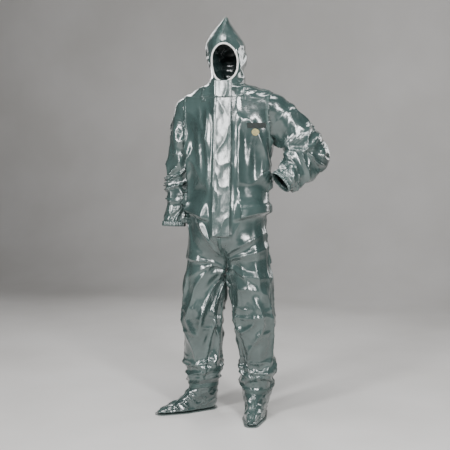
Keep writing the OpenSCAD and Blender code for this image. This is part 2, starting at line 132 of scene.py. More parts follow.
def section(tris, origin, normal, reach=1.0):
    """The outline of the shells round a point in a plane, as points at equal angles."""
    normal = np.asarray(normal, float) / np.linalg.norm(normal)
    across = np.cross((0, 1, 0), normal)
    across /= np.linalg.norm(across)
    along = np.cross(normal, across)
    side = (tris - origin) @ normal
    points = []
    for a, b in ((0, 1), (1, 2), (2, 0)):
        cut = side[:, a] * side[:, b] < 0
        share = side[cut, a] / (side[cut, a] - side[cut, b])
        points.append(tris[cut, a] + (tris[cut, b] - tris[cut, a]) * share[:, None])
    offset = np.concatenate(points) - origin
    flat = np.stack((offset @ across, offset @ along), 1)
    flat = flat[np.hypot(*flat.T) < reach]
    hull = flat[geometry.convex_hull_2d([tuple(p) for p in flat])]
    centre = (hull.min(0) + hull.max(0)) / 2
    hull -= centre
    edge = np.roll(hull, -1, 0) - hull
    outward = np.stack((edge[:, 1], -edge[:, 0]), 1)
    distance = (outward * hull).sum(1)
    outward *= np.sign(distance)[:, None]
    angles = np.arange(RING) / RING * 2 * math.pi
    rays = np.stack((np.cos(angles), np.sin(angles)), 1)
    facing = outward @ rays.T
    radius = np.where(facing > 1e-12, np.abs(distance)[:, None] / np.maximum(facing, 1e-12), 9).min(0)
    ring = centre + rays * radius[:, None]
    return origin + ring[:, :1] * across + ring[:, 1:] * along


def smooth_route(points, step):
    """Even points and directions on a curve through a few points."""
    points = np.array(points, float)
    padded = np.vstack((2 * points[0] - points[1], points, 2 * points[-1] - points[-2]))
    fine = []
    for i in range(1, len(padded) - 2):
        p0, p1, p2, p3 = padded[i - 1:i + 3]
        for t in np.linspace(0, 1, 30, endpoint=False):
            fine.append(0.5 * (2 * p1 + (p2 - p0) * t + (2 * p0 - 5 * p1 + 4 * p2 - p3) * t * t
                               + (3 * p1 - p0 - 3 * p2 + p3) * t ** 3))
    fine = np.array(fine + [points[-1]])
    run = np.concatenate(((0,), np.cumsum(np.linalg.norm(np.diff(fine, axis=0), axis=1))))
    even = np.linspace(0, run[-1], max(2, round(run[-1] / step)))
    route = np.stack([np.interp(even, run, fine[:, k]) for k in range(3)], 1)
    heading = np.gradient(route, axis=0)
    return route, heading / np.linalg.norm(heading, axis=1)[:, None]


def level_rings(tris, heights):
    return [section(tris, np.array((0, 0, z)), (0, 0, 1)) for z in heights]


def side_of_zip(tris, side):
    return tris[(tris.mean(1)[:, 0] - ZIP_X) * side > -0.004]


def sleeve_rings(name, step=0.014):
    route, heading = smooth_route(arm_route(name), step)
    heading[-1] = CUFF_AXIS[name]
    tris = triangles([name + "_sleeve"])
    inner = [i for i in range(len(route)) if abs(route[i][0] - ARMHOLE[name][0]) > 0.030]
    rings = [section(tris, route[i], heading[i], reach=0.13) for i in inner]
    rings.append(rings[-1] + CUFF_AXIS[name] * 0.020)
    root = rings[0].mean(0)
    inside = ARMHOLE[name] - (SIDES[name] * 0.060, 0, 0)
    return [inside + (rings[0] - root) * 0.8, *rings]


def ball_rings(centre, radius):
    """A ball as level rings, short of its poles."""
    turn = np.arange(RING) / RING * 2 * math.pi
    rings = []
    for lift in np.linspace(-0.985, 0.985, 17):
        across = radius * math.sqrt(1 - lift * lift)
        offset = (across * np.cos(turn), across * np.sin(turn), turn * 0 + radius * lift)
        rings.append(centre + np.stack(offset, 1))
    return rings


def base_solids():
    """Rings of the closed forms that together have the suit's outer shape."""
    body = triangles(BODY_PANELS + HOOD_PANELS)
    hood = triangles(HOOD_PANELS)
    hood_z = np.arange(NAPE_Z + 0.018, PEAK_Z - 0.002, 0.012)
    hood_low = section(hood, np.array((0, 0, hood_z[0])), (0, 0, 1))
    forms = {
        "torso": level_rings(body, np.arange(CROTCH_Z + 0.004, NAPE_Z - 0.001, 0.016)),
        "hood": [hood_low - (0, 0, 0.06)] + level_rings(hood, hood_z),
    }
    for name, side in SIDES.items():
        leg = level_rings(side_of_zip(body, side), np.arange(BOOT_Z + 0.004, CROTCH_Z - 0.004, 0.02))
        forms[name + "_leg"] = [leg[0] - (0, 0, 0.02)] + leg + [leg[-1] + (0, 0, 0.045)]
        upper = triangles([name + "_boot_upper"])
        forms[name + "_boot"] = level_rings(upper, np.arange(SOLE_Z + 0.001, BOOT_Z, 0.008))
        forms[name + "_arm"] = sleeve_rings(name)
        forms[name + "_shoulder"] = ball_rings(ARMHOLE[name], high(name + "_sleeve")[2] - ARMHOLE[name][2])
    return forms


def mesh_object(name, verts, faces):
    mesh = bpy.data.meshes.new(name)
    mesh.from_pydata([tuple(v) for v in verts], [], faces)
    mesh.update()
    made = bpy.data.objects.new(name, mesh)
    bpy.context.scene.collection.objects.link(made)
    return made


def loft_faces(rings, size, first=0):
    faces = []
    for i in range(rings - 1):
        for k in range(size):
            a, b = first + i * size + k, first + i * size + (k + 1) % size
            faces.append((a, b, b + size, a + size))
    return faces


def applied(made):
    """Replaces an object's mesh with what its modifiers make of it."""
    bpy.context.view_layer.update()
    evaluated = made.evaluated_get(bpy.context.evaluated_depsgraph_get())
    mesh = bpy.data.meshes.new_from_object(evaluated)
    old = made.data
    made.modifiers.clear()
    made.data = mesh
    bpy.data.meshes.remove(old)
    return made


def one_form(forms, voxel, name):
    """The union of the closed forms as one even mesh."""
    verts, faces = [], []
    for rings in forms.values():
        first, size = len(verts), len(rings[0])
        verts += [p for ring in rings for p in ring]
        faces += loft_faces(len(rings), size, first)
        faces.append(tuple(range(first + size - 1, first - 1, -1)))
        faces.append(tuple(range(len(verts) - size, len(verts))))
    made = mesh_object(name, verts, faces)
    remesh = made.modifiers.new("Remesh", "REMESH")
    remesh.mode = "VOXEL"
    remesh.voxel_size = voxel
    smooth = made.modifiers.new("Smooth", "SMOOTH")
    smooth.factor = 0.6
    smooth.iterations = 8
    return applied(made)


def read_vectors(items, key):
    out = np.zeros(len(items) * 3, np.float32)
    items.foreach_get(key, out)
    return out.reshape(-1, 3).astype(float)


def positions(made):
    return read_vectors(made.data.vertices, "co")


def normals(made):
    return read_vectors(made.data.vertex_normals, "vector")


def set_positions(made, co):
    made.data.vertices.foreach_set("co", np.asarray(co, np.float32).ravel())
    made.data.update()


def blend_in(value, start, end):
    """From 0 at start to 1 at end, easing at both."""
    t = np.clip((value - start) / (end - start), 0, 1)
    return t * t * (3 - 2 * t)


# ---------- openings in the cloth ----------

def face_radius(co):
    """How far points are from the middle of the face opening, as a share of its size."""
    offset = co - FACE
    return np.hypot(offset @ FACE_ACROSS / FACE_SIZE[0], offset[:, 2] / FACE_SIZE[1])


def beyond_cuff(co, name):
    """How far points are past a sleeve's end, and how far from the cuff's axis."""
    offset = co - (CUFF[name] - CUFF_AXIS[name] * HEM_L / 2)
    run = offset @ CUFF_AXIS[name]
    aside = np.linalg.norm(offset - run[:, None] * CUFF_AXIS[name], axis=1)
    return run, aside


def open_cloth(made):
    """Cuts the face opening and the cuffs, and evens their edges."""
    mesh = bmesh.new()
    mesh.from_mesh(made.data)
    co = np.array([v.co for v in mesh.verts])
    gone = (face_radius(co) < 0.98) & (co[:, 1] < 0)
    for name in SIDES:
        run, aside = beyond_cuff(co, name)
        gone |= (run > -0.003) & (run < 0.06) & (aside < 0.09)
    mesh.verts.ensure_lookup_table()
    bmesh.ops.delete(mesh, geom=[mesh.verts[i] for i in np.nonzero(gone)[0]], context="VERTS")
    loose = [v for v in mesh.verts if len(v.link_faces) == 0]
    bmesh.ops.delete(mesh, geom=loose, context="VERTS")
    for vert in [v for v in mesh.verts if v.is_boundary]:
        point = np.array(vert.co)
        share = face_radius(point[None])[0]
        if share < 1.6 and point[1] < 0 and abs(point[2] - FACE[2]) < 0.12:
            offset = point - FACE
            across = FACE_ACROSS * (offset @ FACE_ACROSS)
            rise = np.array((0, 0, offset[2]))
            vert.co = Vector(point + (across + rise) * (1 / share - 1))
        else:
            name = "left" if point[0] > ZIP_X else "right"
            run, _ = beyond_cuff(point[None], name)
            vert.co = Vector(point - CUFF_AXIS[name] * run[0])
    mesh.to_mesh(made.data)
    mesh.free()
    made.data.update()


# ---------- draping ----------

CLOTH_SETTINGS = {
    "quality": 5, "mass": 0.12, "air_damping": 2, "tension_stiffness": 30, "compression_stiffness": 30,
    "shear_stiffness": 12, "bending_model": "ANGULAR", "bending_stiffness": 2, "tension_damping": 10,
    "compression_damping": 10, "vertex_group_mass": "held", "pin_stiffness": 2,
}
COLLISION_SETTINGS = {
    "use_collision": True, "distance_min": 0.004, "collision_quality": 2, "use_self_collision": False,
}


def slack(co):
    """How far the cloth stands off the body under it."""
    z = co[:, 2]
    heights = [0, 0.10, 0.16, 0.30, 0.48, 0.60, 0.78, 0.95, 1.04, 1.12, 1.30, 1.44, 1.53, 1.60, 1.66, 1.95]
    depths_mm = [6, 10, 24, 30, 24, 30, 26, 26, 40, 32, 30, 22, 8, 10, 12, 9]
    offset = np.interp(z, heights, depths_mm) / 1000
    arm = (np.abs(co[:, 0] - (ARMHOLE["left"][0] + ARMHOLE["right"][0]) / 2)
           > (ARMHOLE["left"][0] - ARMHOLE["right"][0]) / 2 + 0.01) & (z > CROTCH_Z + 0.08)
    offset[arm] = np.minimum(offset[arm], 0.026) * 0.9
    return offset


def held_strength(co):
    """How firmly each point of the cloth is held while it settles: 1 where it can't move."""
    held = np.where(co[:, 1] < 0, 1 - blend_in(face_radius(co), 1.02, 1.12), 0)
    for name in SIDES:
        run, aside = beyond_cuff(co, name)
        held = np.maximum(held, np.where((aside < 0.10) & (run < 0.01), blend_in(run, -0.012, -0.004), 0))
    held = np.maximum(held, 1 - blend_in(co[:, 2], SOLE_Z + 0.006, SOLE_Z + 0.014))
    closure = np.abs(co[:, 0] - ZIP_X - 0.012) < 0.052
    flat = (co[:, 1] < -0.06) & (co[:, 2] > ZIP_LOW_Z - 0.02) & (co[:, 2] < NAPE_Z + 0.01)
    return np.maximum(held, np.where(closure & flat, 1, 0))


def cut_shape(co):
    """The cloth as it was cut: fuller and longer than the form it stands in."""
    z = co[:, 2]
    levels = np.linspace(0, 2, 201)
    extra = np.interp(
        levels,
        [0, 0.12, 0.18, 0.30, 0.42, 0.52, 0.62, 0.74, 0.95, 1.06, 1.16, 1.35, 1.5, 1.6, 2],
        [0.02, 0.06, 0.13, 0.08, 0.05, 0.09, 0.05, 0.03, 0.05, 0.10, 0.05, 0.03, 0.03, 0.04, 0.05])
    height = np.concatenate(((0,), np.cumsum(np.diff(levels) * (1 + (extra[1:] + extra[:-1]) / 2))))
    out = co.copy()
    out[:, 2] = np.interp(z, levels, height)
    wide = np.interp(
        z, [0, 0.1, 0.2, 1.0, 1.2, 1.5, 1.62, 2], [1.03, 1.04, 1.05, 1.06, 1.075, 1.06, 1.05, 1.05])
    out[:, 0] = ZIP_X + (co[:, 0] - ZIP_X) * wide
    out[:, 1] = co[:, 1] * wide
    return out


def settle(cloth, inner):
    """Lets the cloth crumple and hang round the inner form, and gives its new positions."""
    co = positions(cloth)
    group = cloth.vertex_groups.new(name="held")
    for i, strength in enumerate(held_strength(co)):
        if strength > 0.01:
            group.add([i], float(strength), "REPLACE")
    cloth.shape_key_add(name="worn")
    cut = cloth.shape_key_add(name="cut")
    cut.data.foreach_set("co", cut_shape(co).astype(np.float32).ravel())
    inner.modifiers.new("Collision", "COLLISION")
    inner.collision.thickness_outer = 0.004
    inner.collision.cloth_friction = 20
    sim = cloth.modifiers.new("Cloth", "CLOTH")
    for key, value in CLOTH_SETTINGS.items():
        setattr(sim.settings, key, value)
    sim.settings.rest_shape_key = cut
    for key, value in COLLISION_SETTINGS.items():
        setattr(sim.collision_settings, key, value)
    sim.point_cache.frame_start = 1
    sim.point_cache.frame_end = SETTLE_FRAMES
    scene = bpy.context.scene
    for step in range(1, SETTLE_FRAMES + 1):
        scene.frame_set(step)
    settled = positions(cloth.evaluated_get(bpy.context.evaluated_depsgraph_get()))
    cloth.modifiers.clear()
    cloth.shape_key_clear()
    scene.frame_set(1)
    return co + evened(cloth, settled - co)


def evened(made, shift, times=7):
    """Averages each point's shift with its neighbours': broad folds stay and buckles go."""
    ends = np.zeros(len(made.data.edges) * 2, np.int32)
    made.data.edges.foreach_get("vertices", ends)
    first, second = ends.reshape(-1, 2).T
    count = np.bincount(ends, minlength=len(shift))[:, None]
    for _ in range(times):
        total = np.zeros_like(shift)
        np.add.at(total, first, shift[second])
        np.add.at(total, second, shift[first])
        shift = (shift + total / count) / 2
    return shift


# ---------- folds ----------

MEAN_FOLD = 0.007       # taken off again, so that the folded cloth keeps its size on the whole


def noise_at(points, seed):
    return np.array([noise.noise(p) for p in (points + seed * 7.31).tolist()])


def ridges(points, seed, sharp=1.6):
    """Sharp crests with broad hollows between them, from 0 to 1."""
    crest = 1 - np.abs(noise_at(points, seed)) * 2.2
    return np.clip(crest, 0, 1) ** sharp


def cells_at(points, seed):
    """Facets that meet at creases: 0 in the middle of each, about 1 at its edge."""
    return np.array([noise.voronoi(p)[0][0] for p in (points + seed * 5.17).tolist()])


def band(value, start, full, out, end):
    """1 between full and out, and 0 before start and after end."""
    return blend_in(value, start, full) * (1 - blend_in(value, out, end))


def along_arm(co, name):
    """How far down a sleeve points are, and how close they are to its elbow."""
    route, _ = smooth_route(arm_route(name), 0.010)
    nearest = np.linalg.norm(co[:, None] - route[None], axis=2).argmin(1)
    bend = {"left": SPACES["left_elbow"].mean(0), "right": SPACES["right_arm"].mean(0) + (0, 0, 0.04)}[name]
    return nearest * 0.010, np.linalg.norm(co - bend, axis=1)


def in_sleeve(co, name):
    """Positive in a sleeve: metres past the plane of its armhole."""
    past = (co[:, 0] - ARMHOLE[name][0]) * SIDES[name]
    return np.minimum(past, co[:, 2] - CROTCH_Z - 0.08)


def fold_depth(co):
    """How far the cloth stands out in folds, in metres, at points of the base form."""
    x, y, z = co.T
    sleeve = {name: in_sleeve(co, name) > 0 for name in SIDES}
    body = ~(sleeve["left"] | sleeve["right"])
    front = y < SPACES["waist"].mean(0)[1]
    depth = np.zeros(len(co))
    wander = noise_at(co / 0.22, 1)[:, None] * (0.5, 0.5, 0.2)

    legs = body & (z < CROTCH_Z + 0.06)
    head = body & (z > NECK_Z)
    # how far they stand out, their size, wander, seed and sharpness, on which cloth, at which heights
    families = (
        (0.026, (0.125, 0.125, 0.75), 0.6, 2, 2.0, body, (0.90, 1.02, 1.34, 1.50)),     # down the torso
        (0.006, (0.19, 0.19, 0.060), 2.0, 4, 1.6, body, (0.94, 1.00, 1.08, 1.16)),      # round the waist
        (0.007, (0.10, 0.10, 0.05), 1.6, 7, 1.6, legs, (0.36, 0.43, 0.50, 0.58)),       # at the knees
        (0.017, (0.15, 0.15, 0.042), 2.6, 8, 1.6, 1, (0.118, 0.150, 0.215, 0.31)),      # piled on the boots
        (0.005, (0.05, 0.05, 0.03), 1.0, 9, 1.6, 1, (0.012, 0.03, 0.09, 0.13)),         # over the feet
        (0.008, (0.07, 0.07, 0.055), 1.0, 14, 1.6, head, (1.55, 1.60, 1.76, 1.84)),     # in the hood
        (0.007, (0.16, 0.16, 0.030), 1.0, 15, 1.6, body, (1.51, 1.55, 1.60, 1.66)),     # round the neck
    )
    for rise, size, drift, seed, sharp, cloth, heights in families:
        depth += rise * ridges(co / size + wander * drift, seed, sharp) * cloth * band(z, *heights)

    slant = np.stack((x + 0.35 * (z - 1.2), y, z * 0.3), 1)
    depth += 0.014 * ridges(slant / 0.105 + wander * 0.6, 3, 2.0) * body * band(z, 1.08, 1.18, 1.40, 1.52)

    hang = z - (CROTCH_Z + 0.175 + 0.42 * np.abs(x - ZIP_X) ** 1.3)
    drop = np.where(hang > 0, np.exp(-(hang / 0.075) ** 2), np.exp(-(hang / 0.010) ** 2))
    depth += 0.030 * drop * body * blend_in(np.abs(x - ZIP_X), 0.045, 0.09)

    turn = np.arctan2(z - CROTCH_Z + 0.02, np.where(front, 1, -1) * (x - ZIP_X))
    reach = np.hypot(x - ZIP_X, z - CROTCH_Z)
    rays = ridges(np.stack((turn * 1.9, reach * 2.6, front * 3.0), 1) + wander * 0.4, 5)
    depth += 0.014 * rays * body * band(reach, 0.015, 0.05, 0.17, 0.30)

    lean = np.stack((x + 0.30 * np.abs(z - 0.47) * np.sign(x - ZIP_X), y, z * 0.24), 1)
    depth += 0.014 * ridges(lean / 0.085 + wander, 6, 2.2) * legs * band(z, 0.17, 0.26, 0.66, 0.78)

    for name, mask in sleeve.items():
        part = co[mask]
        run, elbow = along_arm(part, name)
        around = noise_at(part / 0.16, 10)
        across = np.stack((run / 0.052 + around * 2.0, part[:, 1] / 0.15, part[:, 0] / 0.15), 1)
        long = np.stack((part[:, 0] / 0.075, part[:, 1] / 0.075, run / 0.34), 1)
        near = 1 - blend_in(elbow, 0.04, 0.20)
        end = 1 - blend_in(np.linalg.norm(part - CUFF[name], axis=1), 0.06, 0.13)
        quiet = blend_in(run, 0.01, 0.08)
        depth[mask] += (0.017 * near + 0.002) * ridges(across, 11, 2.0) * quiet
        depth[mask] += 0.017 * ridges(long + around[:, None] * 0.4, 12, 2.0) * quiet * (1 - near * 0.6)
        pleats = ridges(np.stack((part[:, 0], part[:, 1], run * 0.25), 1) / 0.021, 13)
        depth[mask] += 0.006 * pleats * end

    depth += 0.0022 * cells_at(co / 0.030, 18) * head * band(z, 1.66, 1.72, 1.82, 1.88)
    depth += 0.0036 * cells_at(co / 0.085 + wander * 0.5, 16) + 0.0005 * cells_at(co / 0.036, 17)
    return depth - MEAN_FOLD


def calm(co):
    """How much of the folds there is: none at the closure, the openings and the soles."""
    quiet = np.ones(len(co))
    beside = np.abs(co[:, 0] - ZIP_X - 0.012)
    closure = (co[:, 1] < -0.04) & (co[:, 2] > ZIP_LOW_Z - 0.06) & (co[:, 2] < NAPE_Z + 0.02)
    side = np.maximum(blend_in(beside, 0.056, 0.085), blend_in(ZIP_LOW_Z - co[:, 2], 0.012, 0.05))
    quiet = np.where(closure, side, quiet)
    face = face_radius(co)
    quiet = np.where(co[:, 1] < 0, quiet * blend_in(face, 1.02, 1.35), quiet)
    for name in SIDES:
        run, aside = beyond_cuff(co, name)
        quiet = np.where((aside < 0.10) & (run < 0.03), quiet * blend_in(-run, 0.002, 0.018), quiet)
    return quiet * blend_in(co[:, 2], SOLE_Z + 0.004, SOLE_Z + 0.02)


def pointed(co, base):
    """Draws the top of the hood out to its peak again, after the evening of the mesh."""
    out = co.copy()
    start, top = PEAK_Z - 0.16, base[base[:, 2].argmax()]
    rise = np.clip((base[:, 2] - start) / (top[2] - start), 0, 1)
    out[:, :2] += ((HOOD_X, top[1]) - co[:, :2]) * (0.55 * rise ** 2.2)[:, None]
    out[:, 2] += (PEAK_Z - top[2]) * rise ** 2
    return out


def subdivided(cloth, co):
    made = cloth.copy()
    made.data = cloth.data.copy()
    bpy.context.scene.collection.objects.link(made)
    set_positions(made, co)
    finer = made.modifiers.new("Subdivision", "SUBSURF")
    finer.levels = 1
    finer.render_levels = 1
    return applied(made)


# ---------- seams ----------

TAPE_W = 0.022          # the long seams' tapes
EDGE_TAPE = 0.014       # how far the armhole and neck tapes reach from their seams
NECK_GAP = 0.004        # how far the neck tape keeps off its seam
INSEAM_HALF_W = 0.112   # leg seams nearer the middle than this are inseams
# where the side seam runs: how far back at each height
SIDE_SEAM_Z = (BOOT_Z - 0.015, 0.238, 0.357, 0.549, 0.789, 1.053)
SIDE_SEAM_Y = (0.0706, 0.0496, 0.0236, 0.0076, 0.0166, 0.0176)
NECK_Y = (high("throat_left_panel")[1] - 0.044, high("throat_left_panel")[1])
NECK_HALF_W = 0.098


def in_front(co):
    return np.interp(co[:, 2], SIDE_SEAM_Z, SIDE_SEAM_Y) - co[:, 1]


def in_hood(co):
    """Positive above the neck seam, which rises from the throat to the nape."""
    over = co[:, 2] - np.interp(co[:, 1], NECK_Y, (NECK_Z, NAPE_Z))
    return np.maximum(co[:, 2] - NAPE_Z, np.minimum(over, NECK_HALF_W - np.abs(co[:, 0] - ZIP_X)))


def on_left(co):
    return co[:, 0] - np.where(in_hood(co) > -0.03, HOOD_X, ZIP_X)


def beside_toe_seam(co, name):
    """Metres to the side of the seam that runs up the middle of a boot."""
    tape = triangles([name + "_boot_toe_seam_tape"]).reshape(-1, 3)[:, :2]
    centre = tape.mean(0)
    _, _, axes = np.linalg.svd(tape - centre, full_matrices=False)
    return (co[:, :2] - centre) @ np.array((-axes[0][1], axes[0][0]))


def cut(mesh, field, where=None, close=0.0005):
    """Splits the cloth's faces along the line where a field of its base form is zero."""
    layer = mesh.verts.layers.float_vector["base"]
    mesh.verts.index_update()
    co = np.array([v[layer] for v in mesh.verts])
    value = field(co)
    value[np.abs(value) < close] = 0
    if where is not None:
        value[~where(co)] = np.nan
    on = {v for v, f in zip(mesh.verts, value) if f == 0}
    ends = np.array([[v.index for v in e.verts] for e in mesh.edges])
    crossed = np.nonzero(value[ends[:, 0]] * value[ends[:, 1]] < 0)[0]
    mesh.edges.ensure_lookup_table()
    for edge, (a, b) in [(mesh.edges[i], ends[i]) for i in crossed]:
        share = value[a] / (value[a] - value[b])
        _, vert = bmesh.utils.edge_split(edge, edge.verts[0], share)
        on.add(vert)
    for face in {f for v in on for f in v.link_faces}:
        pair = [v for v in face.verts if v in on]
        if len(pair) == 2 and not any(set(pair) == set(edge.verts) for edge in face.edges):
            bmesh.utils.face_split(face, *pair)


def seams():
    """Every line along which the cloth is cut: a field, and where it holds."""
    half = TAPE_W / 2
    body = lambda co: (in_sleeve(co, "left") < 0) & (in_sleeve(co, "right") < 0)
    trunk = lambda co: body(co) & (co[:, 2] > CROTCH_Z - 0.01)
    edge = lambda field, shift: (lambda co: field(co) + shift)
    lines = []
    for shift in (0, half, -half):
        lines.append((edge(lambda co: co[:, 2] - BOOT_Z, shift), body))
        lines.append((edge(in_front, shift), lambda co: body(co) & (co[:, 2] < NAPE_Z + 0.03)))
        lines.append((edge(on_left, shift), trunk))
    for name, side in SIDES.items():
        for shift in (0, EDGE_TAPE):
            lines.append((edge(lambda co, name=name: in_sleeve(co, name), shift), None))
        boot = lambda co, side=side: (co[:, 2] < BOOT_Z + 0.004) & ((co[:, 0] - ZIP_X) * side > 0)
        for shift in (half, -half):
            lines.append((edge(lambda co, name=name: beside_toe_seam(co, name), shift), boot))
    for shift in (0, NECK_GAP, EDGE_TAPE):
        lines.append((edge(in_hood, shift), body))
    return lines


def cut_cloth(made, base):
    """Cuts the cloth along its seams. Gives positions, base positions, normals and faces."""
    mesh = bmesh.new()
    mesh.from_mesh(made.data)
    layer = mesh.verts.layers.float_vector.new("base")
    for vert, point in zip(mesh.verts, base.tolist()):
        vert[layer] = point
    for field, where in seams():
        cut(mesh, field, where)
    mesh.normal_update()
    mesh.verts.index_update()
    co = np.array([v.co for v in mesh.verts])
    flat = np.array([v[layer] for v in mesh.verts])
    out = np.array([v.normal for v in mesh.verts])
    faces = [[v.index for v in f.verts] for f in mesh.faces]
    mesh.free()
    centres = np.array([flat[f].mean(0) for f in faces])
    return {"co": co, "base": flat, "out": out, "faces": faces, "centres": centres}


def part_of(cloth, chosen, name, raised=0.0, edge_raised=0.0):
    """A new object from some of the cloth's faces, raised off it in its middle and at its edge."""
    faces = [cloth["faces"][i] for i in np.nonzero(chosen)[0]]
    used = np.unique(np.concatenate([np.array(f) for f in faces]))
    place = {v: i for i, v in enumerate(used.tolist())}
    out = cloth["out"][used]
    faces = [[place[v] for v in f] for f in faces]
    made = mesh_object(name, cloth["co"][used] + out * raised, faces)
    if raised != edge_raised:
        mesh = bmesh.new()
        mesh.from_mesh(made.data)
        mesh.verts.index_update()
        for vert in mesh.verts:
            if vert.is_boundary:
                vert.co -= Vector(out[vert.index]) * (raised - edge_raised)
        mesh.to_mesh(made.data)
        mesh.free()
    return made


def thickened(made, thickness, inner_slot=0):
    solid = made.modifiers.new("Solidify", "SOLIDIFY")
    solid.thickness = thickness
    solid.offset = -1
    solid.material_offset = inner_slot
    return applied(made)


def dressed(made, *materials):
    for material in materials:
        made.data.materials.append(material)
    for face in made.data.polygons:
        face.use_smooth = True
    return made


# ---------- small made pieces ----------

FLAP_DEPTH = 0.0024     # how thick the CAD's flaps are
PLEAT_DEPTH = 0.008     # how far a pleat stands out from the front


def grid_object(name, rows):
    """A sheet from rows of points, each row as long as the others."""
    size = len(rows[0])
    faces = [(i * size + k, i * size + k + 1, (i + 1) * size + k + 1, (i + 1) * size + k)
             for i in range(len(rows) - 1) for k in range(size - 1)]
    return mesh_object(name, [p for row in rows for p in row], faces)


def tube_object(name, rings):
    """A closed tube from rings of points that run round a closed path."""
    count, size = len(rings), len(rings[0])
    faces = []
    for i in range(count):
        here, there = i * size, (i + 1) % count * size
        for k in range(size):
            after = (k + 1) % size
            faces.append((here + k, here + after, there + after, there + k))
    return mesh_object(name, [p for ring in rings for p in ring], faces)


def flap_object(name, node, seed):
    """A strip of cloth on the closure: wrinkled, with a turned hem and a free edge that waves."""
    centre, extent = middle(node), high(node) - low(node)
    width, up, out = extent[0], CLOSURE_UP, CLOSURE_OUT
    length = (extent[2] - FLAP_DEPTH * abs(out[2])) / up[2]
    across, tall = 40, max(8, round(length / 0.0035))
    u, v = np.meshgrid(np.linspace(0, 1, across), np.linspace(0, 1, tall))
    u, v = u.ravel(), v.ravel()
    place = np.stack((u * width, v * length, np.zeros(len(u))), 1)
    wave = ridges(place / (0.060, 0.110, 1) + (0, 0, seed), seed) * 0.0026
    wave += cells_at(place / (0.030, 0.050, 1), seed + 1) * 0.0010
    free = blend_in(u, 0.86, 1.0)
    hem = blend_in(u, 0.90, 0.915) * 0.0009 + blend_in(1 - u, 0.90, 0.915) * 0.0009
    bow = np.sin(u * math.pi) * 0.0018
    curl = free * (0.5 + noise_at(place / 0.09, seed + 2)) * 0.0035
    sway = noise_at(np.stack((v * length / 0.08, u * 0, u * 0), 1), seed + 3) * 0.0016 * u
    height = wave + hem + bow - curl * 0.5 - FLAP_DEPTH * 0.30
    points = np.zeros((len(u), 3))
    points[:, 0] = centre[0] - width / 2 + u * width + sway
    points += np.outer((v - 0.5) * length, up) + np.outer(height, out)
    points[:, 1:] += centre[1:]
    return grid_object(name, points.reshape(tall, across, 3))


def fold_object(name, node):
    """The pleat that carries a flap out from the front panel."""
    up, out = CLOSURE_UP, CLOSURE_OUT
    length = (high(node)[2] - low(node)[2] - PLEAT_DEPTH * abs(out[2])) / up[2]
    tall = max(6, round(length / 0.006))
    rows = []
    for v in np.linspace(0, 1, tall):
        base = middle(node) + up * (v - 0.5) * length
        sway = noise.noise((v * length / 0.05, 0.3, 0.7)) * 0.0012
        rows.append([base + out * h + np.array((sway + 0.0008 * math.cos(h * 400), 0, 0))
                     for h in np.linspace(-0.0042, 0.0040, 7)])
    return grid_object(name, rows)


def cuff_object(name):
    """The gathered cuff: an elastic in a hem, with small pleats all round."""
    axis = CUFF_AXIS[name]
    across = np.cross(axis, (0, 1, 0))
    across /= np.linalg.norm(across)
    along = np.cross(axis, across)
    start = CUFF[name] - axis * HEM_L / 2
    # along the axis and out from it: over the elastic, round the hem's end and back inside
    profile = [(-0.010, 0.0035), (-0.006, 0.0042), (-0.001, 0.0026), (0.002, 0.0046), (0.006, 0.0056),
               (0.010, 0.0054), (0.0135, 0.0044), (0.0158, 0.0026), (0.0160, 0.0008), (0.0135, -0.0004),
               (0.006, -0.0006), (-0.002, 0.0)]
    rings = []
    count = 300
    for i in range(count):
        angle = i / count * 2 * math.pi
        pleat = math.sin(angle * 31 + 1.7 * math.sin(angle * 3)) * 0.0013
        pleat += math.sin(angle * 13 + 0.8) * 0.0008
        out = across * math.cos(angle) + along * math.sin(angle)
        ring = []
        for run, rise in profile:
            grow = 1.0 if rise > 0.001 else 0.45
            ring.append(start + axis * run + out * (CUFF_R + rise + pleat * grow))
        rings.append(ring)
    return tube_object(name + "_cuff", rings)


def face_rim(cloth):
    """The cloth's edge round the face, as even points in order."""
    mesh = bmesh.new()
    mesh.from_mesh(cloth.data)
    edge = np.array([v.co for v in mesh.verts if v.is_boundary])
    mesh.free()
    edge = edge[(edge[:, 2] > NECK_Z) & (np.abs(face_radius(edge) - 1) < 0.05)]
    offset = edge - FACE
    angle = np.arctan2(offset[:, 2] / FACE_SIZE[1], offset @ FACE_ACROSS / FACE_SIZE[0])
    order = np.argsort(angle)
    even = np.linspace(-math.pi, math.pi, 240, endpoint=False)
    rim = np.stack([np.interp(even, angle[order], edge[order, k], period=2 * math.pi) for k in range(3)], 1)
    for _ in range(6):
        rim = (np.roll(rim, 1, 0) + rim * 2 + np.roll(rim, -1, 0)) / 4
    return rim


def elastic_object(rim):
    """A gathered band sewn round the edge of the face opening."""
    heading = np.roll(rim, -1, 0) - np.roll(rim, 1, 0)
    heading /= np.linalg.norm(heading, axis=1)[:, None]
    inward = FACE - rim
    inward -= np.outer(inward @ FACE_AXIS, FACE_AXIS)
    inward /= np.linalg.norm(inward, axis=1)[:, None]
    rings = []
    for i, point in enumerate(rim):
        outward = np.cross(heading[i], inward[i])
        outward *= np.sign(outward @ FACE_AXIS)
        swell = 1 + 0.16 * math.sin(i * 2 * math.pi / 4)
        ring = []
        for a in np.linspace(0, 2 * math.pi, 12, endpoint=False):
            ring.append(point - inward[i] * (0.0016 + math.cos(a) * 0.0042 * swell)
                        + outward * (0.0006 + math.sin(a) * 0.0026 * swell))
        rings.append(ring)
    return tube_object("face_elastic_band", rings)


